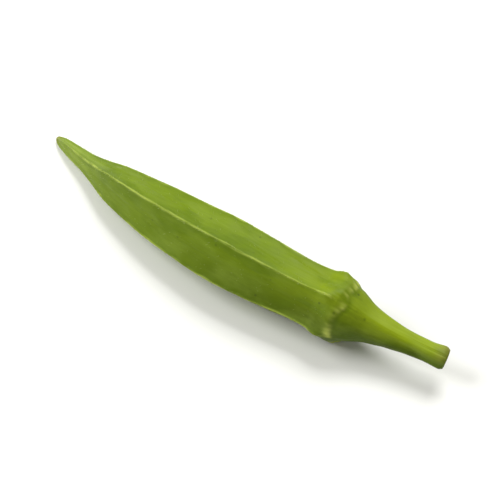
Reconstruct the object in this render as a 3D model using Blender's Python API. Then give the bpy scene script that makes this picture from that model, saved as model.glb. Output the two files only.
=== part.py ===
"""Okra pod: one five-ribbed pod with its calyx scar and cut stalk, grown as one piece.

The pod lies on its side on z = 0, tip towards -X and stalk towards +X.  Its surface is a
row of five-sided rings set along a gently bowed centre line; the places that carry its
weight are pressed flat.  Metres, +Z up.
"""
import math

import bmesh
import bpy
from mathutils import Euler, Matrix, Vector

MM = 0.001

# Size
POD_LENGTH = 110.0 * MM        # tip to cut end, along the centre line
RIB_RADIUS = 8.0 * MM          # centre line to rib crest, where the pod is widest

# Outline: (share of the length from the tip, share of RIB_RADIUS at the rib crest)
OUTLINE = (
    (0.000, 0.080), (0.008, 0.118), (0.030, 0.186), (0.070, 0.244),    # dried style and beak
    (0.115, 0.300), (0.165, 0.426), (0.220, 0.604), (0.285, 0.734),    # taper
    (0.360, 0.857), (0.440, 0.935), (0.520, 1.000), (0.590, 0.970),    # belly
    (0.650, 0.918), (0.700, 0.880), (0.735, 0.902), (0.760, 0.992),    # waist and shoulder
    (0.778, 0.895), (0.795, 0.767), (0.815, 0.639), (0.840, 0.495),    # scar, then the cone
    (0.870, 0.404), (0.910, 0.325), (0.955, 0.285), (0.993, 0.305),    # stalk
    (1.000, 0.285),
)

# Section: five ribs joined by nearly straight walls
RIB_ANGLES = (-4.8, 67.2, 133.8, 215.1, 293.1)  # degrees, from the front (-Y) over the top
RIB_ROUNDING = math.radians(4.0)                # how softly two walls meet at a rib
RIB_HEIGHT = 0.035                              # rib crest above the walls' corner, share of radius
RIB_WIDTH = math.radians(6.3)                   # half width of the rib crest
BODY_END, BODY_FADE = 0.785, 0.030              # share where the ribs have faded, and over what

# Centre line: the tip end curves away back and down, the stalk end only a little
CENTRE = 0.687                 # share of the length where the bend turns over
TIP_BEND = 26.6                # degrees that the tip end turns
STEM_BEND = 4.9                # degrees that the stalk end turns
BEND_DIRECTION = 209.3         # degrees, measured like RIB_ANGLES

# How it lies: the turn that brings it to rest, and how deep the contacts are pressed
LIE_ROLL, LIE_PITCH, LIE_YAW = 0.42, 1.20, 5.3   # degrees about X, Y and Z
PRESS = 0.12 * MM

# Mesh
RINGS_PER_STEP = (1, 1, 1, 2, 2, 2, 3, 4, 4, 4, 4, 3, 3, 2, 2, 2, 2, 2, 2, 2, 2, 2, 2, 1)
WALL_POINTS = (0.0, 0.045, 0.09, 0.15, 0.26, 0.40, 0.5, 0.60, 0.74, 0.85, 0.91, 0.955)

SKIN_GREEN = (0.147, 0.214, 0.012, 1.0)         # linear RGB


def smoothstep(t):
    t = min(max(t, 0.0), 1.0)
    return t * t * (3.0 - 2.0 * t)


def outline_slopes():
    """Slopes that keep the outline from overshooting between its stations."""
    step = [(b[0] - a[0], (b[1] - a[1]) / (b[0] - a[0])) for a, b in zip(OUTLINE, OUTLINE[1:])]
    slopes = [step[0][1]]
    for (h0, d0), (h1, d1) in zip(step, step[1:]):
        if d0 * d1 <= 0.0:
            slopes.append(0.0)
        else:
            slopes.append(3.0 * (h0 + h1) / ((2.0 * h1 + h0) / d0 + (h1 + 2.0 * h0) / d1))
    return slopes + [step[-1][1]]


SLOPES = outline_slopes()


def rib_radius(share):
    """Rib crest radius at a share of the length: a cubic between neighbouring stations."""
    k = 0
    while k < len(OUTLINE) - 2 and share > OUTLINE[k + 1][0]:
        k += 1
    (x0, y0), (x1, y1) = OUTLINE[k], OUTLINE[k + 1]
    h = x1 - x0
    t = (share - x0) / h
    value = ((2 * t**3 - 3 * t**2 + 1) * y0 + (t**3 - 2 * t**2 + t) * h * SLOPES[k]
             + (3 * t**2 - 2 * t**3) * y1 + (t**3 - t**2) * h * SLOPES[k + 1])
    return RIB_RADIUS * value


def section(wall, place, share):
    """Angle and relative radius on wall number `wall`, `place` of the way to the next rib."""
    start = math.radians(RIB_ANGLES[wall])
    end = math.radians(RIB_ANGLES[(wall + 1) % 5] + (360.0 if wall == 4 else 0.0))
    half = 0.5 * (end - start)
    to_rib = 2.0 * half * min(place, 1.0 - place)
    soft = math.hypot(to_rib, RIB_ROUNDING) - RIB_ROUNDING
    straight = math.cos(half) / math.cos(half - soft)
    crest = RIB_HEIGHT * (math.exp(-(to_rib / RIB_WIDTH) ** 2) - 1.0)
    ribbed = smoothstep((BODY_END - share) / BODY_FADE)
    return start + 2.0 * half * place, 1.0 + ribbed * (straight + crest - 1.0)


def outward(angle):
    """Unit vector in the YZ plane at an angle from the front over the top."""
    return Vector((0.0, -math.cos(angle), math.sin(angle)))


def centre_line(share):
    """Point on the centre line, and the direction of its bend there.  Each part is an arc."""
    along = (share - CENTRE) * POD_LENGTH
    if along < 0.0:
        radius = CENTRE * POD_LENGTH / math.radians(TIP_BEND)
    else:
        radius = (1.0 - CENTRE) * POD_LENGTH / math.radians(STEM_BEND)
    turn = along / radius
    bend = outward(math.radians(BEND_DIRECTION))
    point = Vector((radius * math.sin(turn), 0.0, 0.0)) + radius * (1.0 - math.cos(turn)) * bend
    return point, bend, math.cos(turn) * bend - math.sin(turn) * Vector((1.0, 0.0, 0.0))


def ring(share):
    """The points of the ring across the centre line at a share of the length."""
    centre, bend, turned_bend = centre_line(share)
    radius = rib_radius(share)
    points = []
    for wall in range(5):
        for place in WALL_POINTS:
            angle, rho = section(wall, place, share)
            out = outward(angle)
            out += out.dot(bend) * (turned_bend - bend)
            points.append(centre + radius * rho * out)
    return points


def ring_shares():
    """Shares of the length that carry a ring, closer together where the outline turns."""
    shares = [0.0]
    for (a, b), count in zip(zip(OUTLINE, OUTLINE[1:]), RINGS_PER_STEP):
        shares += [a[0] + (b[0] - a[0]) * (i + 1) / count for i in range(count)]
    return shares


def lie_down(bm):
    """Turn the pod to its resting attitude, set it down and press its contacts flat."""
    turn = Euler((math.radians(LIE_ROLL), math.radians(LIE_PITCH), math.radians(LIE_YAW)))
    bmesh.ops.transform(bm, matrix=turn.to_matrix().to_4x4(), verts=bm.verts)
    low = [min(v.co[i] for v in bm.verts) for i in range(3)]
    high = [max(v.co[i] for v in bm.verts) for i in range(3)]
    drop = Vector((-0.5 * (low[0] + high[0]), -0.5 * (low[1] + high[1]), -low[2] - PRESS))
    bmesh.ops.transform(bm, matrix=Matrix.Translation(drop), verts=bm.verts)
    for vert in bm.verts:
        vert.co.z = max(vert.co.z, 0.0)


def skin_material():
    material = bpy.data.materials.new("okra_skin")
    material.use_nodes = True
    shader = material.node_tree.nodes["Principled BSDF"]
    shader.inputs["Base Color"].default_value = SKIN_GREEN
    shader.inputs["Roughness"].default_value = 0.5
    shader.inputs["Metallic"].default_value = 0.0
    return material


def make_pod():
    """Rings from tip to cut end, walled with quads and closed by a flat face at each end."""
    bm = bmesh.new()
    rings = [[bm.verts.new(p) for p in ring(share)] for share in ring_shares()]
    for near, far in zip(rings, rings[1:]):
        for i in range(len(near)):
            j = (i + 1) % len(near)
            bm.faces.new((near[i], near[j], far[j], far[i]))
    bm.faces.new(rings[0])
    bm.faces.new(rings[-1])
    bmesh.ops.recalc_face_normals(bm, faces=bm.faces)
    lie_down(bm)

    mesh = bpy.data.meshes.new("okra_pod")
    bm.to_mesh(mesh)
    bm.free()
    mesh.materials.append(skin_material())
    mesh.shade_smooth()
    mesh.set_sharp_from_angle(angle=math.radians(40.0))
    pod = bpy.data.objects.new("okra_pod", mesh)
    bpy.context.scene.collection.objects.link(pod)
    return pod


for old in list(bpy.data.objects):
    bpy.data.objects.remove(old)
make_pod()
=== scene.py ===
"""Okra pod: finished skin, bristles, calyx scar and cut stalk around the fixed frame, with a stage."""

import math
from collections import namedtuple

import bpy
import numpy as np
from bpy.props import FloatProperty, FloatVectorProperty, IntProperty, PointerProperty
from mathutils import Euler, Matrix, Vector


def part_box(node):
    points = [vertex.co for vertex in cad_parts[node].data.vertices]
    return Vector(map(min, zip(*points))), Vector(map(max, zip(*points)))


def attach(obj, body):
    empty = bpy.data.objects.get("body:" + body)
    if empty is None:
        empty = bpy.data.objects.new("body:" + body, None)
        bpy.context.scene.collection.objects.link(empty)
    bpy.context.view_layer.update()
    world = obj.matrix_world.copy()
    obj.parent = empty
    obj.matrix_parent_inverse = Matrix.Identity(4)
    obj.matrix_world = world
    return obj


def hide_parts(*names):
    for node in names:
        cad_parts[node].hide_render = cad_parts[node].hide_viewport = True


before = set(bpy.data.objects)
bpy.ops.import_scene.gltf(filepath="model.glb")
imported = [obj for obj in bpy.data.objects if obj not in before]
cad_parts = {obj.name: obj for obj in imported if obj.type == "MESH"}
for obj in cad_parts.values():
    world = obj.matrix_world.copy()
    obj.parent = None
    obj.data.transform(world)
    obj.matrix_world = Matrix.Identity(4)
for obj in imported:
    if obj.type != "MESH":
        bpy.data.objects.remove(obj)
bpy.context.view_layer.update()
POD_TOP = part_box("okra_pod")[1][2]

bl_info = {
    "name": "Okra pod",
    "version": (1, 0, 0),
    "blender": (4, 5, 0),
    "location": "3D View > Sidebar > Okra",
    "description": "Builds the skin, bristles and cut stalk of an okra pod, and the stage it lies on",
    "category": "Add Mesh",
}

MM = 0.001

# Outline: (share of the length from the tip, share of the rib radius at the rib crest)
OUTLINE = np.array((
    (0.000, 0.080), (0.008, 0.118), (0.030, 0.186), (0.070, 0.244),    # dried style and beak
    (0.115, 0.300), (0.165, 0.426), (0.220, 0.604), (0.285, 0.734),    # taper
    (0.360, 0.857), (0.440, 0.935), (0.520, 1.000), (0.590, 0.970),    # belly
    (0.650, 0.918), (0.700, 0.880), (0.735, 0.902), (0.760, 0.992),    # waist and shoulder
    (0.778, 0.895), (0.795, 0.767), (0.815, 0.639), (0.840, 0.495),    # scar, then the cone
    (0.870, 0.404), (0.910, 0.325), (0.955, 0.285), (0.993, 0.305),    # stalk
    (1.000, 0.285),
))

# Section and centre line.  Angles run from the front (-Y) over the top.
RIB_ANGLES = np.radians((-4.8, 67.2, 133.8, 215.1, 293.1))
WALLS = len(RIB_ANGLES)
RIB_ROUNDING = math.radians(4.0)        # how softly two walls meet at a rib
BODY_END, BODY_FADE = 0.785, 0.030      # share where the ribs have faded, and over what
CENTRE = 0.687                          # share of the length where the centre line's arcs meet

# How it lies
LIE = Euler((math.radians(0.42), math.radians(1.2), math.radians(5.3)))   # turn that brings it to rest
PRESS = 0.12 * MM                       # how deep its contacts are pressed

# Uneven patterns: seed, number of cosines, cycles along the pod, whole turns round it,
# how far the pattern swings, and the value it swings about
Pattern = namedtuple("Pattern", "seed count cycles turns swing mean", defaults=(1.0, 0.0))
RIB_WANDER = Pattern(11, 8, (4.0, 22.0), (1, 5), 0.12 * MM)
RIB_DEPTH = Pattern(13, 10, (3.0, 30.0), (1, 2), 0.35, 0.8)
RIB_BEADS = Pattern(15, 6, (70.0, 130.0), (1, 3), 0.5, 0.5)
WALL_LUMPS = Pattern(3, 14, (1.0, 9.0), (1, 7))
SKIN_LINES = Pattern(5, 24, (1.0, 14.0), (16, 58))
BEAK_WRINKLES = Pattern(17, 14, (6.0, 40.0), (3, 11), 0.035 * MM)
SCAR_PATH = Pattern(7, 7, (0.0, 0.0), (1, 9), 0.0040)
SCAR_TEARS = Pattern(9, 7, (0.0, 9.0), (1, 7), 0.45, 0.55)
SCAR_SHREDS = Pattern(29, 16, (0.0, 30.0), (9, 40), 0.28)
SCAR_HOLLOW = Pattern(27, 9, (0.0, 0.0), (1, 9), 0.5, 0.6)
STALK_LINES = Pattern(19, 12, (0.5, 5.0), (8, 30), 0.7)
STALK_LUMPS = Pattern(21, 8, (4.0, 26.0), (1, 4), 0.05 * MM)
CUT_GRAIN = Pattern(23, 16, (1.0, 6.0), (2, 14), 0.02 * MM)

# Ribs
FULL_RADIUS = 5.0 * MM                  # rib radius from which the relief has its full height
GROOVE_SPREAD = 3.0                     # a groove's half width, in half widths of the cord
BEAD_HEIGHT = 0.03 * MM                 # fine unevenness along the cord
BEAD_SHIFT = 1.7                        # sets each rib's beads apart from the next rib's
RIB_CLEAR = 0.22                        # radians beside a rib that the lumps leave alone

# Walls
SEAM_DEPTH, SEAM_WIDTH = 0.045 * MM, 0.25 * MM      # faint line down the middle of a wall
SEED_ROW, SEED_WIDTH = 0.2, 0.13        # share of a wall: middle to a row of seeds, and half width
WALL_SHIFT, ROW_SHIFT = 2.3, 1.6        # radians by which seeds of other walls and rows are offset
SEEDS_START, SEEDS_STOP = (0.16, 0.08), (0.74, 0.05)    # shares of the length
WAIST_AT, WAIST_LENGTH, WAIST_DEPTH = 0.735, 0.022, 0.22 * MM
BEAK_END, BEAK_FADE = 0.16, 0.12        # where the beak's wrinkles have faded, and over what

# Scar
RIM_BEFORE, RIM_AFTER = 0.9 * MM, 0.35 * MM         # the rim's reach towards tip and stalk
RIM_NEAR_RIB, RIM_BETWEEN = 0.5, 0.15   # radians beside a rib, and height left between the ribs
MOST_TORN = 1.4                         # rim and hollow swell to at most this much of their size
HOLLOW_AT, HOLLOW_WIDTH, HOLLOW_DEPTH = 0.8 * MM, 0.6 * MM, 0.10 * MM   # just behind the rim
RIM_FOOT = 1.2 * MM                     # distance behind the scar where the cone's ridges begin

# Cone, stalk and cut
CONE_RIDGE, CONE_RIDGE_WIDTH = 0.16 * MM, 0.24
CONE_RIDGE_LEVEL = 0.4                  # share of the ridge at which the surface keeps its place
STALK_START, STALK_FADE = 0.83, 0.06
STALK_RIDGES, RIDGE_LEVEL = 13, 0.6     # number round the stalk, and share of their nominal height
RIDGE_BEND, RIDGE_BENDS = 2.0, 9.0      # how far the ridges wander round the stalk, and how often
CUT_EDGE, CUT_EDGE_LENGTH, CUT_ROUNDING = 0.988, 0.012, 0.25 * MM
CUT_LEAN, CUT_LEAN_LENGTH = 0.97, 0.03  # where the slant of the cut begins to draw the stalk along
CUT_AHEAD = math.radians(52.0)          # side of the cut face that stands ahead
CUT_DISH, CUT_FIBRES = 0.10 * MM, 0.05 * MM         # hollow middle, and ring of stiff fibres
FIBRES_AT, FIBRES_WIDTH = 0.66, 0.1     # shares of the cut face's radius, as are the next four
DISH_EDGE, DISH_SLOPE = 0.6, 0.5
GRAIN_EDGE, GRAIN_SLOPE = 1.0, 0.1

# Masks that colour the skin
PAINTED_SHADE_FULL = 0.6                        # (1 - cos) / 2 of the turn from the lit side where the painted shade is full
CORD_START, CORD_FADE = 0.03, 0.1

# Mesh: steps across a wall, crowded beside the ribs, and rings as (from share, to share, number)
STEPS_PER_WALL, CROWDING = 44, 0.55
RING_SPANS = ((0.00, 0.03, 16), (0.03, 0.75, 260), (0.75, 0.82, 76), (0.82, 1.00, 64))
TIP_INSETS = np.array([0.12, 0.45, 0.8])
TIP_DOME = 0.25 * MM                    # how far the middle of the tip stands out
CUT_INSETS = np.array([0.97, 0.92, 0.85, 0.76, 0.66, 0.56, 0.44, 0.3, 0.15, 0.05])

# Bristles
BRISTLE_SEED = 41
BRISTLE_SPAN = (0.04, 0.77)             # shares of the length
ON_RIBS, RIB_SCATTER = 0.72, 0.022      # share that stands on ribs, and its scatter in walls
WALL_SPAN = (0.08, 0.92)                # shares of a wall for the others
FLOOR_GAP, LOWEST_HAIR = 0.5 * MM, 0.02 * MM        # least height of a foot, and of a tip
LEAN, LEAN_SCATTER = np.array([-0.35, 0.0, 0.0]), 0.35      # they lean towards the tip
LENGTH_SPAN = (0.5, 1.5)                # shares of the mean length
ROOT_DEPTH = 0.05 * MM                  # how deep a bristle's foot sits in the skin

# Stage, in metres
AIM = (4.7 * MM, 3.0 * MM)              # where the camera looks, on the floor
FLOOR_HALF = 1.5                        # half the floor's side
KEY_PLACE, KEY_WIDTH = (-0.10, 0.42, 0.62), 0.45
FILL_PLACE, FILL_WIDTH = (-0.45, -0.30, 0.50), 0.50


def linear(code):
    """Linear RGB of an sRGB hex code: c/12.92 up to 0.04045, else ((c + 0.055) / 1.055) ** 2.4."""
    parts = [int(code[i:i + 2], 16) / 255.0 for i in (1, 3, 5)]
    return tuple(c / 12.92 if c <= 0.04045 else ((c + 0.055) / 1.055) ** 2.4 for c in parts)


def size(name, description, default):
    """A length property in metres."""
    return FloatProperty(name=name, description=description, default=default, min=0.0,
                         unit="LENGTH", precision=5)


def angle_of(name, description, degrees):
    """An angle property whose default is given in degrees."""
    return FloatProperty(name=name, description=description, default=math.radians(degrees),
                         subtype="ANGLE")


def colour(name, description, code):
    """A colour property whose default is an sRGB hex code."""
    return FloatVectorProperty(name=name, description=description, default=linear(code),
                               subtype="COLOR", size=3, min=0.0, max=1.0)


class OkraShape(bpy.types.PropertyGroup):
    """Sizes of the pod and of its surface relief."""
    length: size("Length", "Tip to cut end, along the centre line", 110.0 * MM)
    rib_radius: size("Rib radius", "Centre line to rib crest at the widest", 8.0 * MM)
    rib_height: FloatProperty(name="Rib height", default=0.035, min=0.0, max=0.2,
                              description="Rib crest above the walls' corner, share of radius")
    rib_width: angle_of("Rib width", "Half width of the rib crest", 6.3)
    tip_bend: angle_of("Tip bend", "How far the tip end turns", 26.6)
    stem_bend: angle_of("Stalk bend", "How far the stalk end turns", 4.9)
    bend_direction: angle_of("Bend direction", "Where both ends curve to, like a rib's angle", 209.3)
    cord_depth: size("Cord depth", "Depth of the grooves that set off each rib's cord", 0.20 * MM)
    cord_width: size("Cord width", "Half width of a rib's cord", 0.24 * MM)
    seed_pitch: size("Seed pitch", "Distance between the seeds that show through", 5.4 * MM)
    seed_bulge: size("Seed bulge", "How far the seeds lift the walls", 0.07 * MM)
    lump: size("Lumps", "Height of the skin's broad unevenness", 0.09 * MM)
    streak: size("Streaks", "Height of the fine lengthwise lines", 0.016 * MM)
    scar_at: FloatProperty(name="Scar place", default=0.790, min=0.0, max=1.0,
                           description="Share of the length where the calyx came off")
    scar_height: size("Scar height", "Height of the torn rim that the calyx left", 0.20 * MM)
    stalk_ridge: size("Stalk ridges", "Height of the ridges along the stalk", 0.03 * MM)
    cut_slant: size("Cut slant", "How far one side of the cut stands ahead of the other", 1.0 * MM)
    # Lit side: the skin turned away from it is painted darker, as painted shade on the underside
    lit_side: angle_of("Lit side", "Direction of the light for the painted shade, like a rib's angle", 100.0)
    bristles: IntProperty(name="Bristles", description="Number of short hairs", default=1700, min=0)
    bristle_length: size("Bristle length", "Mean length of a bristle", 0.42 * MM)
    bristle_width: size("Bristle width", "Width of a bristle at its foot", 0.05 * MM)


class OkraSkin(bpy.types.PropertyGroup):
    """Colours of the pod."""
    tip: colour("Dried tip", "Brown end where the flower's style dried", "#8a8a3c")
    beak: colour("Beak", "Narrow end of the pod", "#84983b")
    taper: colour("Taper", "Between the beak and the belly", "#6b8020")
    belly: colour("Belly", "Middle of the pod", "#677d09")
    shoulder: colour("Shoulder", "Pod just before the scar", "#768a0a")
    cone: colour("Cone", "Where the calyx sat", "#778a12")
    stalk: colour("Stalk", "Cut stalk", "#84970e")
    # Painted shade: the darker colour laid on the side away from the light
    shade: colour("Shaded side", "Colour painted as shade on the side away from the light", "#3a4a04")
    # Deep green: the skin's own dark patches, and also the painted shade in the rib grooves and in the
    # hollow behind the scar
    deep_green_and_shade: colour("Deep green", "Dark patches in the skin", "#516803")
    bloom: colour("Bloom", "Pale greyish film and light patches", "#7f9334")
    cord: colour("Rib cord", "Crest line of each rib", "#a6b64e")
    scar: colour("Scar", "Torn rim left by the calyx", "#b3bd58")
    scuff: colour("Scuffs", "Small bruised specks", "#3f4c10")
    flesh: colour("Cut flesh", "Fresh cut face of the stalk", "#a0a648")
    fibre: colour("Cut rim", "Fibres and rim of the cut face", "#83803a")
    hair: colour("Bristles", "Short pale hairs", "#c9cf9c")


class OkraStage(bpy.types.PropertyGroup):
    """Floor, lights and camera."""
    floor: colour("Floor", "Pale matt floor", "#eeeeec")
    sky: colour("Surround", "Even light all round", "#f8f7ec")
    sky_strength: FloatProperty(name="Surround strength", description="Brightness of the even light",
                                default=0.40, min=0.0)
    key_power: FloatProperty(name="Key power", description="Soft light above and behind",
                             default=4.7, min=0.0, subtype="POWER")
    fill_power: FloatProperty(name="Fill power", description="Soft light at the front left",
                              default=4.0, min=0.0, subtype="POWER")
    azimuth: angle_of("Camera azimuth", "Camera's turn round the pod", 37.5)
    elevation: angle_of("Camera elevation", "Camera's height above the horizon", 48.0)
    distance: size("Camera distance", "Camera to the middle of the pod", 0.46)
    lens: FloatProperty(name="Lens", description="Focal length in millimetres", default=156.0, min=1.0)


def smoothstep(t):
    """3 t^2 - 2 t^3 with t held between 0 and 1."""
    t = np.clip(t, 0.0, 1.0)
    return t * t * (3.0 - 2.0 * t)


def rise(x, start, over):
    """0 up to `start`, then a smooth step to 1 at start + over."""
    return smoothstep((x - start) / over)


def fall(x, end, over):
    """1 up to end - over, then a smooth step to 0 at `end`."""
    return smoothstep((end - x) / over)


def hill(x, width):
    """Bell curve exp(-(x / width)^2): 1 at x = 0."""
    return np.exp(-(x / width) ** 2)


def waves(pattern, share, angle):
    """mean + swing * a sum of cosines of (cycles * share + whole turns * angle + phase).

    The sum is scaled so that its spread is about 1.  Whole turns make it close round the pod.
    """
    rng = np.random.default_rng(pattern.seed)
    cycles = rng.uniform(*pattern.cycles, pattern.count)
    turns = rng.integers(*pattern.turns, pattern.count, endpoint=True)
    phases = rng.uniform(0.0, 2.0 * math.pi, pattern.count)
    total = sum(np.cos(2.0 * math.pi * c * share + t * angle + p)
                for c, t, p in zip(cycles, turns, phases))
    return pattern.mean + pattern.swing * math.sqrt(2.0 / pattern.count) * total


def outward(angle):
    """Unit vector in the YZ plane at an angle from the front over the top, last axis XYZ."""
    angle = np.asarray(angle, float)
    return np.stack([np.zeros_like(angle), -np.cos(angle), np.sin(angle)], axis=-1)


def outline(share):
    """Cubic through the OUTLINE stations whose slopes are harmonic means, so it never overshoots."""
    x, y = OUTLINE.T
    h, d = np.diff(x), np.diff(y) / np.diff(x)
    slope = np.concatenate([d[:1], np.zeros(len(x) - 2), d[-1:]])
    same = d[:-1] * d[1:] > 0.0
    a, b = d[:-1][same], d[1:][same]
    h0, h1 = h[:-1][same], h[1:][same]
    slope[1:-1][same] = 3.0 * (h0 + h1) / ((2.0 * h1 + h0) / a + (h1 + 2.0 * h0) / b)
    k = np.clip(np.searchsorted(x, share, side="right") - 1, 0, len(x) - 2)
    t = (share - x[k]) / h[k]
    return ((2 * t**3 - 3 * t**2 + 1) * y[k] + (t**3 - 2 * t**2 + t) * h[k] * slope[k]
            + (3 * t**2 - 2 * t**3) * y[k + 1] + (t**3 - t**2) * h[k] * slope[k + 1])


class PodForm:
    """Works out points on the pod from a share of its length and a place around it.

    `around` counts walls: 0 is the first rib, 0.5 the middle of the first wall, 5 the first rib again.
    """

    def __init__(self, shape):
        self.shape = shape
        self.turn = np.array(LIE.to_matrix())
        share = np.linspace(0.0, 1.0, 500)[:, None]
        around = np.arange(0.0, WALLS, 0.02)[None, :]
        rough = self.turned(share, around, 0.0).reshape(-1, 3)
        low, high = rough.min(axis=0), rough.max(axis=0)
        self.drop = np.array([-0.5 * (low[0] + high[0]), -0.5 * (low[1] + high[1]), -low[2] - PRESS])

    def section(self, share, around):
        """Angle and relative radius of a five-sided section, then wall, place, distance and ribs.

        Straight chords cos(half) / cos(half - distance to the rib), rounded where they meet, with a
        bell-shaped crest on each rib.  They fade to a circle before the cone.
        """
        wall = np.floor(around).astype(int) % WALLS
        place = around - np.floor(around)
        ends = np.append(RIB_ANGLES, RIB_ANGLES[0] + 2.0 * math.pi)
        start, half = ends[wall], 0.5 * (ends[wall + 1] - ends[wall])
        to_rib = 2.0 * half * np.minimum(place, 1.0 - place)
        soft = np.hypot(to_rib, RIB_ROUNDING) - RIB_ROUNDING
        chord = np.cos(half) / np.cos(half - soft)
        crest = self.shape.rib_height * (hill(to_rib, self.shape.rib_width) - 1.0)
        ribbed = fall(share, BODY_END, BODY_FADE)
        angle, _ = np.broadcast_arrays(start + 2.0 * half * place, share)
        return angle, 1.0 + ribbed * (chord + crest - 1.0), (wall, place, to_rib, ribbed)

    def centre_line(self, share):
        """Two arcs that leave CENTRE tangent to X: points, bend, the bend turned, and tangent."""
        shape = self.shape
        share = np.asarray(share, float)
        along = (share - CENTRE) * shape.length
        radius = shape.length * np.where(along < 0.0, CENTRE / shape.tip_bend,
                                         (1.0 - CENTRE) / shape.stem_bend)
        turn = (along / radius)[..., None]
        bend = outward(shape.bend_direction)
        forward = np.array([1.0, 0.0, 0.0])
        point = radius[..., None] * (np.sin(turn) * forward + (1.0 - np.cos(turn)) * bend)
        turned = np.cos(turn) * bend - np.sin(turn) * forward
        return point, bend, turned, np.cos(turn) * forward + np.sin(turn) * bend

    def turned(self, share, around, relief, inset=1.0, push=0.0):
        """Centre line + inset * (radius + relief) * outward direction + push * tangent, turned to rest."""
        angle, rho, _ = self.section(share, around)
        point, bend, turned, tangent = self.centre_line(share)
        out = outward(angle)
        out = out + (out @ bend)[..., None] * (turned - bend)
        reach = inset * (self.shape.rib_radius * outline(share) * rho + relief)
        points = point + reach[..., None] * out + np.asarray(push, float)[..., None] * tangent
        return points @ self.turn.T

    def place(self, *where, **more):
        """The turned points set down on the floor, with none below it."""
        points = self.turned(*where, **more) + self.drop
        points[..., 2] = np.maximum(points[..., 2], 0.0)
        return points

    def relief(self, share, around):
        """Fine surface height in metres, the masks that colour the skin, angle and rib radius.

        The height is a sum of bells, steps and uneven patterns, one group for each feature.
        """
        shape = self.shape
        angle, _, (wall, place, to_rib, ribbed) = self.section(share, around)
        radius = shape.rib_radius * outline(share)
        full = np.clip(radius / FULL_RADIUS, 0.0, 1.0)

        # Ribs: a narrow cord between two grooves, uneven along its length
        arc = to_rib * radius + waves(RIB_WANDER, share, wall) * (place - 0.5)
        depth = shape.cord_depth * full * waves(RIB_DEPTH, share, 0.0)
        cord = hill(arc, shape.cord_width)
        groove = (1.0 - cord) * hill(arc, GROOVE_SPREAD * shape.cord_width)
        beads = BEAD_HEIGHT * full * cord * waves(RIB_BEADS, share, BEAD_SHIFT * wall)
        height = ribbed * (beads - depth * groove)

        # Walls: a faint seam down the middle, a row of seeds on either side of it, a hollow waist
        seam = hill((place - 0.5) * radius * 2.0 * math.pi / WALLS, SEAM_WIDTH)
        seeds = np.cos(2.0 * math.pi * share * shape.length / shape.seed_pitch
                       + WALL_SHIFT * wall + ROW_SHIFT * np.sign(place - 0.5))
        seeds = seeds * hill(np.abs(place - 0.5) - SEED_ROW, SEED_WIDTH)
        seeds = seeds * rise(share, *SEEDS_START) * fall(share, *SEEDS_STOP)
        waist = hill(share - WAIST_AT, WAIST_LENGTH) * np.sin(math.pi * place) ** 2
        height += ribbed * (shape.seed_bulge * seeds - SEAM_DEPTH * seam * full - WAIST_DEPTH * waist)

        # Skin: broad lumps and fine lengthwise lines, which leave the ribs clean
        off_rib = 1.0 - hill(to_rib, RIB_CLEAR) * ribbed
        height += shape.lump * full * off_rib * waves(WALL_LUMPS, share, angle)
        height += shape.streak * off_rib * waves(SKIN_LINES, share, angle)

        # Beak: shrunken wrinkles
        height += fall(share, BEAK_END, BEAK_FADE) * waves(BEAK_WRINKLES, share, angle)

        # Calyx scar: a crooked torn rim, steep towards the stalk, with a hollow behind it
        ahead = (share - shape.scar_at - waves(SCAR_PATH, 0.0, angle)) * shape.length
        torn = np.clip(waves(SCAR_TEARS, share, angle) + waves(SCAR_SHREDS, share, angle), 0.0, MOST_TORN)
        torn = torn * (RIM_BETWEEN + (1.0 - RIM_BETWEEN) * hill(to_rib, RIM_NEAR_RIB))
        rim = np.where(ahead < 0.0, hill(ahead, RIM_BEFORE), hill(ahead, RIM_AFTER)) * torn
        behind = hill(ahead - HOLLOW_AT, HOLLOW_WIDTH)
        behind = behind * np.clip(waves(SCAR_HOLLOW, 0.0, angle), 0.0, MOST_TORN)
        height += shape.scar_height * rim - HOLLOW_DEPTH * behind

        # Cone and stalk: the ribs run on as soft ridges, then fine ridges to a rounded edge
        stalk = rise(share, STALK_START, STALK_FADE)
        cone = rise(ahead, 0.0, RIM_FOOT) * (1.0 - stalk)
        height += cone * CONE_RIDGE * (hill(to_rib, CONE_RIDGE_WIDTH) - CONE_RIDGE_LEVEL)
        ridges = np.cos(STALK_RIDGES * angle + RIDGE_BEND * np.sin(RIDGE_BENDS * share))
        ridges = ridges + waves(STALK_LINES, share, angle)
        height += stalk * (shape.stalk_ridge * RIDGE_LEVEL * ridges + waves(STALK_LUMPS, share, angle))
        height -= CUT_ROUNDING * rise(share, CUT_EDGE, CUT_EDGE_LENGTH) ** 2

        # Painted shade: a mask that grows away from the lit side, so the underside is painted darker
        from_lit_side = 0.5 - 0.5 * np.cos(angle - shape.lit_side)
        masks = {
            "along": share,
            "shade": rise(from_lit_side, 0.0, PAINTED_SHADE_FULL),
            "cord": cord * ribbed * rise(share, CORD_START, CORD_FADE),
            "groove": groove * ribbed,
            "scar": np.clip(rim, 0.0, 1.0),
            "behind": np.clip(behind, 0.0, 1.0),
        }
        return height, masks, angle, radius

    def normal(self, share, around):
        """Unit normals from the cross product of two small steps, around and along."""
        def at(s, a):
            return self.place(s, a, self.relief(s, a)[0])
        small_share, small_around = 0.0008, 0.01
        along = at(share + small_share, around) - at(share - small_share, around)
        across = at(share, around + small_around) - at(share, around - small_around)
        cross = np.cross(along, across)
        return cross / np.linalg.norm(cross, axis=-1, keepdims=True)


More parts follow.
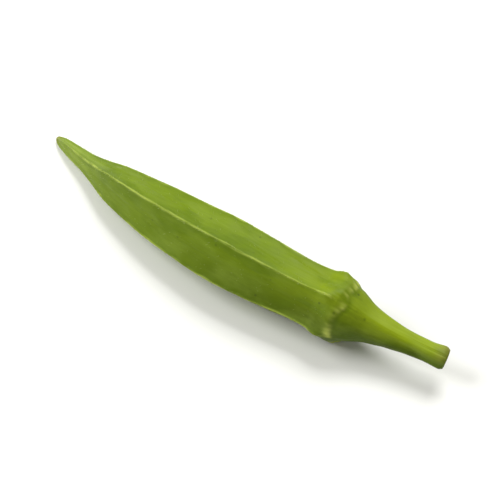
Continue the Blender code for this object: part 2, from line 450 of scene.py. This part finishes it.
def lay_mesh(name, points, quads, triangles, materials, attributes=None, smooth=True):
    """A mesh object at the origin from whole arrays of points, quads and triangles."""
    mesh = bpy.data.meshes.new(name)
    mesh.vertices.add(len(points))
    mesh.vertices.foreach_set("co", np.asarray(points, np.float32).ravel())
    corners = np.concatenate([quads.ravel(), triangles.ravel()]).astype(np.int32)
    totals = np.concatenate([np.full(len(quads), 4), np.full(len(triangles), 3)])
    starts = np.concatenate([[0], np.cumsum(totals)[:-1]]).astype(np.int32)
    mesh.loops.add(len(corners))
    mesh.loops.foreach_set("vertex_index", corners)
    mesh.polygons.add(len(totals))
    mesh.polygons.foreach_set("loop_start", starts)
    mesh.update(calc_edges=True)
    mesh.validate()
    mesh.polygons.foreach_set("use_smooth", np.full(len(totals), smooth))
    for key, values in (attributes or {}).items():
        values = np.asarray(values, np.float32)
        kind, field = ("FLOAT_VECTOR", "vector") if values.ndim == 2 else ("FLOAT", "value")
        mesh.attributes.new(key, kind, "POINT").data.foreach_set(field, values.ravel())
    for material in materials:
        mesh.materials.append(material)
    piece = bpy.data.objects.new(name, mesh)
    bpy.context.scene.collection.objects.link(piece)
    return piece


def ring_faces(rows, columns):
    """Quads between neighbouring rings of a closed tube whose rings run along +X, facing out."""
    a = np.arange(rows - 1)[:, None] * columns + np.arange(columns)[None, :]
    b = np.arange(rows - 1)[:, None] * columns + (np.arange(columns)[None, :] + 1) % columns
    return np.stack([a + columns, b + columns, b, a], axis=-1).reshape(-1, 4)


def graded_shares():
    """Shares of the length that carry a ring: 0.2 mm apart at the tip, 0.1 at the scar, else 0.3."""
    return np.concatenate([np.linspace(start, end, count, endpoint=end == 1.0)
                           for start, end, count in RING_SPANS])


def add(tree, kind, inputs=None, stops=None, **settings):
    """Adds a node: settings are its properties, inputs are values or sockets, stops fill its ramp."""
    node = tree.nodes.new(kind)
    for key, value in settings.items():
        setattr(node, key, value)
    for key, value in (inputs or {}).items():
        if isinstance(value, bpy.types.NodeSocket):
            tree.links.new(value, node.inputs[key])
        else:
            node.inputs[key].default_value = value
    if stops:
        ramp = node.color_ramp
        while len(ramp.elements) < len(stops):
            ramp.elements.new(1.0)
        for element, (position, value) in zip(ramp.elements, stops):
            element.position, element.color = position, value
    return node


def rgba(value):
    """A colour property as a socket value."""
    return (*value, 1.0)


def cells(along, across):
    """Cells per metre, as a Mapping scale, for a pattern whose cells have this size in millimetres."""
    return (1.0 / (along * MM), 1.0 / (across * MM), 1.0 / (across * MM))


def skin_material(skin):
    """Fresh okra skin: thin waxy cuticle over fleshy walls.

    To the eye it is satin, streaked lengthwise and blotched, with paler ribs.  "grain" is the place
    on the pod in metres, unbent: along, then across.
    """
    material = bpy.data.materials.new("fresh_okra_skin")
    material.use_nodes = True
    tree = material.node_tree
    shader = tree.nodes["Principled BSDF"]
    read = {key: add(tree, "ShaderNodeAttribute", attribute_name=key).outputs["Fac"]
            for key in ("along", "shade", "cord", "groove", "scar", "behind")}
    grain = add(tree, "ShaderNodeAttribute", attribute_name="grain").outputs["Vector"]

    # Ground colour from tip to stalk, browned at the cut's edge
    places = (
        (0.0, skin.tip), (0.022, skin.beak), (0.09, skin.beak), (0.20, skin.taper),
        (0.42, skin.belly), (0.62, skin.belly), (0.74, skin.shoulder), (0.785, skin.cone),
        (0.82, skin.cone), (0.87, skin.stalk), (0.975, skin.stalk), (1.0, skin.fibre))
    ground = add(tree, "ShaderNodeValToRGB", {"Fac": read["along"]},
                 stops=[(share, rgba(value)) for share, value in places]).outputs["Color"]

    # Painted shade: the side away from the light is darker, most of all from the shoulder on
    depth = add(tree, "ShaderNodeMapRange", {
        "Value": read["along"], "From Min": 0.35, "From Max": 0.80, "To Min": 0.10, "To Max": 0.95})
    away = add(tree, "ShaderNodeMath", {0: read["shade"], 1: depth.outputs["Result"]},
               operation="MULTIPLY")
    ground = add(tree, "ShaderNodeMix", {0: away.outputs[0], 6: ground, 7: rgba(skin.shade)},
                 data_type="RGBA").outputs[2]

    # Deep green patches, about 13 mm long and 6 mm wide
    patch_place = add(tree, "ShaderNodeMapping", {"Vector": grain, "Scale": cells(13.3333, 6.25)})
    patches = add(tree, "ShaderNodeTexNoise", {
        "Vector": patch_place.outputs["Vector"], "Scale": 1.0, "Detail": 4.0, "Roughness": 0.55})
    patch_mask = add(tree, "ShaderNodeMapRange", {
        "Value": patches.outputs["Fac"], "From Min": 0.46, "From Max": 0.62, "To Max": 0.50},
        interpolation_type="SMOOTHSTEP")
    green = add(tree, "ShaderNodeMix", {0: patch_mask.outputs["Result"], 6: ground, 7: rgba(skin.deep_green_and_shade)},
                data_type="RGBA").outputs[2]

    # Pale bloom, in films about 14 mm long and 5 mm wide, moved off the deep patches
    bloom_place = add(tree, "ShaderNodeMapping", {
        "Vector": grain, "Scale": cells(14.2857, 5.26316), "Location": (3.1, 1.7, 0.4)})
    bloom = add(tree, "ShaderNodeTexNoise", {
        "Vector": bloom_place.outputs["Vector"], "Scale": 1.0, "Detail": 5.0, "Roughness": 0.6})
    bloom_mask = add(tree, "ShaderNodeMapRange", {
        "Value": bloom.outputs["Fac"], "From Min": 0.47, "From Max": 0.70, "To Max": 0.45})
    green = add(tree, "ShaderNodeMix", {0: bloom_mask.outputs["Result"], 6: green, 7: rgba(skin.bloom)},
                data_type="RGBA").outputs[2]

    # Lengthwise streaks, about 8 mm long and 0.5 mm wide, 7 percent lighter or darker
    streak_place = add(tree, "ShaderNodeMapping", {"Vector": grain, "Scale": cells(7.69231, 0.5)})
    streaks = add(tree, "ShaderNodeTexNoise", {
        "Vector": streak_place.outputs["Vector"], "Scale": 1.0, "Detail": 3.0, "Roughness": 0.6})
    streak_light = add(tree, "ShaderNodeMapRange", {
        "Value": streaks.outputs["Fac"], "From Min": 0.25, "From Max": 0.75,
        "To Min": 0.93, "To Max": 1.07})
    streaked = add(tree, "ShaderNodeVectorMath", {0: green, "Scale": streak_light.outputs["Result"]},
                   operation="SCALE").outputs["Vector"]

    # Scuffs: soft dark specks about 0.6 mm across, in about one in six cells of 1.9 mm
    speck_cells = add(tree, "ShaderNodeTexVoronoi", {
        "Vector": grain, "Scale": cells(1.92308, 1.92308)[0], "Randomness": 1.0})
    speck_mask = add(tree, "ShaderNodeMapRange", {
        "Value": speck_cells.outputs["Distance"], "From Min": 0.10, "From Max": 0.20,
        "To Min": 1.0, "To Max": 0.0})
    lot = add(tree, "ShaderNodeSeparateColor", {"Color": speck_cells.outputs["Color"]})
    chosen = add(tree, "ShaderNodeMapRange", {
        "Value": lot.outputs["Red"], "From Min": 0.80, "From Max": 0.90, "To Max": 0.6})
    speck = add(tree, "ShaderNodeMath", {0: speck_mask.outputs["Result"], 1: chosen.outputs["Result"]},
                operation="MULTIPLY")
    specked = add(tree, "ShaderNodeMix", {0: speck.outputs[0], 6: streaked, 7: rgba(skin.scuff)},
                  data_type="RGBA").outputs[2]

    # Rib cords: pale and broken by the streaks, with painted shade as a darker line in the grooves beside
    # them
    groove_shade_mix = add(tree, "ShaderNodeMath", {0: read["groove"], 1: 0.45}, operation="MULTIPLY")
    groove_shaded = add(tree, "ShaderNodeMix", {0: groove_shade_mix.outputs[0], 6: specked, 7: rgba(skin.deep_green_and_shade)},
                  data_type="RGBA").outputs[2]
    broken = add(tree, "ShaderNodeMapRange", {
        "Value": streaks.outputs["Fac"], "From Min": 0.38, "From Max": 0.62,
        "To Min": 0.05, "To Max": 0.85})
    cord = add(tree, "ShaderNodeMath", {0: read["cord"], 1: broken.outputs["Result"]},
               operation="MULTIPLY")
    corded = add(tree, "ShaderNodeMix", {0: cord.outputs[0], 6: groove_shaded, 7: rgba(skin.cord)},
                 data_type="RGBA").outputs[2]

    # Calyx scar: pale torn rim, with painted shade in the hollow behind it
    hollow_shade_mix = add(tree, "ShaderNodeMath", {0: read["behind"], 1: 0.45}, operation="MULTIPLY")
    hollow_shaded = add(tree, "ShaderNodeMix", {0: hollow_shade_mix.outputs[0], 6: corded, 7: rgba(skin.deep_green_and_shade)},
                   data_type="RGBA").outputs[2]
    rim = add(tree, "ShaderNodeMath", {0: read["scar"], 1: 0.75}, operation="MULTIPLY")
    final = add(tree, "ShaderNodeMix", {0: rim.outputs[0], 6: hollow_shaded, 7: rgba(skin.scar)},
                data_type="RGBA").outputs[2]
    tree.links.new(final, shader.inputs["Base Color"])

    # Cuticle: satin, rougher where the bloom lies, with a fine grain of about 0.3 mm
    gloss = add(tree, "ShaderNodeMapRange", {
        "Value": bloom.outputs["Fac"], "From Min": 0.3, "From Max": 0.75,
        "To Min": 0.40, "To Max": 0.62})
    tree.links.new(gloss.outputs["Result"], shader.inputs["Roughness"])
    pores = add(tree, "ShaderNodeTexNoise", {
        "Vector": grain, "Scale": cells(0.30303, 0.30303)[0], "Detail": 2.0})
    relief = add(tree, "ShaderNodeMath", {0: pores.outputs["Fac"], 1: streaks.outputs["Fac"]},
                 operation="ADD")
    bump = add(tree, "ShaderNodeBump", {
        "Height": relief.outputs[0], "Strength": 0.14, "Distance": 0.1 * MM})
    tree.links.new(bump.outputs["Normal"], shader.inputs["Normal"])
    shader.inputs["IOR"].default_value = 1.45
    shader.inputs["Specular IOR Level"].default_value = 0.14
    shader.inputs["Sheen Weight"].default_value = 0.04
    shader.inputs["Sheen Roughness"].default_value = 0.45
    shader.inputs["Sheen Tint"].default_value = rgba(skin.hair)
    return material


def cut_material(skin):
    """Fresh cut stalk: moist flesh.  To the eye it is pale, with a browned ring of fibres and rim."""
    material = bpy.data.materials.new("cut_okra_stalk")
    material.use_nodes = True
    tree = material.node_tree
    shader = tree.nodes["Principled BSDF"]
    across = add(tree, "ShaderNodeAttribute", attribute_name="across").outputs["Fac"]
    grain = add(tree, "ShaderNodeAttribute", attribute_name="grain").outputs["Vector"]

    # Blotches of about 0.6 mm make the rings uneven
    blotch = add(tree, "ShaderNodeTexNoise", {
        "Vector": grain, "Scale": cells(0.625, 0.625)[0], "Detail": 4.0})
    uneven = add(tree, "ShaderNodeMapRange", {
        "Value": blotch.outputs["Fac"], "From Min": 0.3, "From Max": 0.7,
        "To Min": -0.12, "To Max": 0.12})
    reach = add(tree, "ShaderNodeMath", {0: across, 1: uneven.outputs["Result"]}, operation="ADD")
    places = ((0.0, skin.flesh), (0.45, skin.flesh), (0.62, skin.fibre), (0.74, skin.flesh),
              (0.88, skin.stalk), (1.0, skin.fibre))
    rings = add(tree, "ShaderNodeValToRGB", {"Fac": reach.outputs[0]},
                stops=[(share, rgba(value)) for share, value in places])
    tree.links.new(rings.outputs["Color"], shader.inputs["Base Color"])
    bump = add(tree, "ShaderNodeBump", {
        "Height": blotch.outputs["Fac"], "Strength": 0.5, "Distance": 0.2 * MM})
    tree.links.new(bump.outputs["Normal"], shader.inputs["Normal"])
    shader.inputs["Roughness"].default_value = 0.5
    return material


def hair_material(skin):
    """Plant bristles: stiff dry hairs.  To the eye they are a pale matt down."""
    material = bpy.data.materials.new("okra_bristle")
    material.use_nodes = True
    tree = material.node_tree
    shader = tree.nodes["Principled BSDF"]
    place = add(tree, "ShaderNodeTexCoord").outputs["Object"]

    # The tint varies over about 1 mm, so from one hair to the next
    vary = add(tree, "ShaderNodeTexNoise", {"Vector": place, "Scale": cells(1.11111, 1.11111)[0]})
    tint = add(tree, "ShaderNodeMix", {0: vary.outputs["Fac"], 6: rgba(skin.hair), 7: rgba(skin.cord)},
               data_type="RGBA")
    tree.links.new(tint.outputs[2], shader.inputs["Base Color"])
    shader.inputs["Roughness"].default_value = 0.6
    return material


def floor_material(stage):
    """Matt painted board: hardly any gloss, so the eye sees only the pod's soft shadow on it."""
    material = bpy.data.materials.new("matt_floor")
    material.use_nodes = True
    shader = material.node_tree.nodes["Principled BSDF"]
    shader.inputs["Base Color"].default_value = rgba(stage.floor)
    shader.inputs["Roughness"].default_value = 0.9
    return material


class OKRA_OT_pod(bpy.types.Operator):
    """Builds the pod's skin from tip to cut face as one closed surface"""
    bl_idname = "okra.pod"
    bl_label = "Pod"

    def execute(self, context):
        shape, skin = context.scene.okra_shape, context.scene.okra_skin
        form = PodForm(shape)
        steps = np.arange(0.0, 1.0, 1.0 / STEPS_PER_WALL)
        crowded = steps - CROWDING * np.sin(2.0 * math.pi * steps) / (2.0 * math.pi)
        around = (np.arange(WALLS)[:, None] + crowded[None, :]).reshape(1, -1)

        # Rows: rings that close the tip, rings along the pod, rings that close the cut face
        share = graded_shares()
        inset = np.concatenate([TIP_INSETS, np.ones(len(share)), CUT_INSETS])[:, None]
        share = np.concatenate([np.zeros(len(TIP_INSETS)), share, np.ones(len(CUT_INSETS))])[:, None]
        height, masks, angle, radius = form.relief(share, around)

        # Push along the pod: a domed tip, a slanted cut, and a dished face with a ring of fibres
        push = (0.5 * shape.cut_slant * rise(share, CUT_LEAN, CUT_LEAN_LENGTH) * inset
                * np.cos(angle - CUT_AHEAD))
        push[:len(TIP_INSETS)] -= TIP_DOME * (1.0 - TIP_INSETS[:, None] ** 2)
        across = CUT_INSETS[:, None]
        push[-len(CUT_INSETS):] += (
            CUT_FIBRES * hill(across - FIBRES_AT, FIBRES_WIDTH)
            - CUT_DISH * fall(across, DISH_EDGE, DISH_SLOPE)
            + waves(CUT_GRAIN, across, angle[-1:]) * fall(across, GRAIN_EDGE, GRAIN_SLOPE))
        points = form.place(share, around, height, inset, push)

        # Faces: quads between the rings, and a fan to a middle point at each end
        rows, columns = points.shape[:2]
        count = rows * columns
        ends = np.stack([points[0].mean(axis=0), points[-1].mean(axis=0)])
        first, last = np.arange(columns), (rows - 1) * columns + np.arange(columns)
        fans = np.concatenate([
            np.stack([first, np.roll(first, -1), np.full(columns, count)], axis=1),
            np.stack([np.roll(last, -1), last, np.full(columns, count + 1)], axis=1)])

        def with_ends(values):
            """Values of the rings' points, then those of the two middle points."""
            flat = values.reshape(count, -1)
            return np.concatenate([flat, flat[:1], flat[-1:]]).squeeze()
        spread = dict(masks, across=inset)
        attributes = {key: with_ends(np.broadcast_to(value, (rows, columns)))
                      for key, value in spread.items()}
        grain = np.broadcast_arrays(share * shape.length, inset * radius * np.cos(angle),
                                    inset * radius * np.sin(angle))
        attributes["grain"] = with_ends(np.stack(grain, axis=-1))
        piece = lay_mesh("okra_skin", np.concatenate([points.reshape(-1, 3), ends]),
                         ring_faces(rows, columns), fans, [skin_material(skin), cut_material(skin)],
                         attributes)

        # The rings that close the cut face, and its fan, take the second material
        index = np.zeros(len(piece.data.polygons), np.int32)
        index[(rows - 1 - len(CUT_INSETS)) * columns:(rows - 1) * columns] = 1
        index[-columns:] = 1
        piece.data.polygons.foreach_set("material_index", index)
        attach(piece, "root")
        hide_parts("okra_pod")
        return {"FINISHED"}


class OKRA_OT_bristles(bpy.types.Operator):
    """Sets short bristles on the ribs, thinner over the walls"""
    bl_idname = "okra.bristles"
    bl_label = "Bristles"

    def execute(self, context):
        shape, skin = context.scene.okra_shape, context.scene.okra_skin
        form = PodForm(shape)
        rng = np.random.default_rng(BRISTLE_SEED)
        count = shape.bristles
        share = rng.uniform(*BRISTLE_SPAN, count)
        on_rib = rng.random(count) < ON_RIBS
        near = np.where(on_rib, rng.normal(0.0, RIB_SCATTER, count), rng.uniform(*WALL_SPAN, count))
        around = (rng.integers(0, WALLS, count) + near) % WALLS

        # Feet that stand clear of the floor
        foot = form.place(share, around, form.relief(share, around)[0])
        normal = form.normal(share, around)
        clear = foot[:, 2] > FLOOR_GAP
        foot, normal = foot[clear], normal[clear]
        count = len(foot)

        # Each is a three-sided spike: foot + leaning direction * length
        way = normal + (rng.normal(0.0, LEAN_SCATTER, (count, 3)) + LEAN)
        way /= np.linalg.norm(way, axis=1, keepdims=True)
        length = shape.bristle_length * rng.uniform(*LENGTH_SPAN, count)
        side = np.cross(way, rng.normal(size=(count, 3)))
        side /= np.linalg.norm(side, axis=1, keepdims=True)
        other = np.cross(way, side)
        turn = np.arange(3) * 2.0 * math.pi / 3.0
        ring = (np.cos(turn)[None, :, None] * side[:, None, :]
                + np.sin(turn)[None, :, None] * other[:, None, :])
        base = (foot - ROOT_DEPTH * normal)[:, None, :] + 0.5 * shape.bristle_width * ring
        tip = foot + way * length[:, None]
        points = np.concatenate([base, tip[:, None, :]], axis=1).reshape(-1, 3)
        points[:, 2] = np.maximum(points[:, 2], LOWEST_HAIR)
        spike = np.array([[0, 1, 3], [1, 2, 3], [2, 0, 3], [0, 2, 1]])
        faces = (np.arange(count)[:, None, None] * 4 + spike[None]).reshape(-1, 3)
        piece = lay_mesh("rib_bristles", points, np.zeros((0, 4), int), faces,
                         [hair_material(skin)], smooth=False)
        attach(piece, "root")
        return {"FINISHED"}


class OKRA_OT_stage(bpy.types.Operator):
    """Lays the pale floor and sets the lights and the camera"""
    bl_idname = "okra.stage"
    bl_label = "Stage"

    def execute(self, context):
        scene, stage = context.scene, context.scene.okra_stage
        corners = FLOOR_HALF * np.array([(-1.0, -1.0, 0.0), (1.0, -1.0, 0.0), (1.0, 1.0, 0.0),
                                         (-1.0, 1.0, 0.0)])
        floor = lay_mesh("floor", corners, np.array([[0, 1, 2, 3]]), np.zeros((0, 3), int),
                         [floor_material(stage)], smooth=False)

        world = bpy.data.worlds.new("surround")
        world.use_nodes = True
        sky = world.node_tree.nodes["Background"]
        sky.inputs["Color"].default_value = rgba(stage.sky)
        sky.inputs["Strength"].default_value = stage.sky_strength
        scene.world = world
        scene.view_settings.view_transform = "Standard"

        middle = Vector((*AIM, 0.5 * POD_TOP))
        for name, place, width, power in (
                ("key", KEY_PLACE, KEY_WIDTH, stage.key_power),
                ("fill", FILL_PLACE, FILL_WIDTH, stage.fill_power)):
            light = bpy.data.lights.new(name, "AREA")
            light.shape, light.size, light.energy = "DISK", width, power
            lamp = bpy.data.objects.new(name, light)
            lamp.location = place
            lamp.rotation_mode = "QUATERNION"
            lamp.rotation_quaternion = (middle - Vector(place)).to_track_quat("-Z", "Y")
            scene.collection.objects.link(lamp)

        a, e = stage.azimuth, stage.elevation
        back = Vector((math.sin(a) * math.cos(e), -math.cos(a) * math.cos(e), math.sin(e)))
        lens = bpy.data.cameras.new("camera")
        lens.lens = stage.lens
        lens.clip_start = 10.0 * MM
        camera = bpy.data.objects.new("camera", lens)
        camera.location = middle + back * stage.distance
        camera.rotation_mode = "QUATERNION"
        camera.rotation_quaternion = (-back).to_track_quat("-Z", "Y")
        scene.collection.objects.link(camera)
        scene.camera = camera
        return {"FINISHED"}


class OKRA_PT_panel(bpy.types.Panel):
    """Lists what builds the pod and what shapes it"""
    bl_idname = "OKRA_PT_panel"
    bl_label = "Okra pod"
    bl_space_type = "VIEW_3D"
    bl_region_type = "UI"
    bl_category = "Okra"

    def draw(self, context):
        for kind in (OKRA_OT_pod, OKRA_OT_bristles, OKRA_OT_stage):
            self.layout.operator(kind.bl_idname)
        for group in (context.scene.okra_shape, context.scene.okra_skin, context.scene.okra_stage):
            box = self.layout.box()
            for key in group.__annotations__:
                box.prop(group, key)


CLASSES = (OkraShape, OkraSkin, OkraStage, OKRA_OT_pod, OKRA_OT_bristles, OKRA_OT_stage, OKRA_PT_panel)


def register():
    for kind in CLASSES:
        bpy.utils.register_class(kind)
    bpy.types.Scene.okra_shape = PointerProperty(type=OkraShape)
    bpy.types.Scene.okra_skin = PointerProperty(type=OkraSkin)
    bpy.types.Scene.okra_stage = PointerProperty(type=OkraStage)


def unregister():
    del bpy.types.Scene.okra_stage, bpy.types.Scene.okra_skin, bpy.types.Scene.okra_shape
    for kind in reversed(CLASSES):
        bpy.utils.unregister_class(kind)


def main():
    register()
    bpy.ops.okra.pod()
    bpy.ops.okra.bristles()
    bpy.ops.okra.stage()


if __name__ == "__main__":
    main()
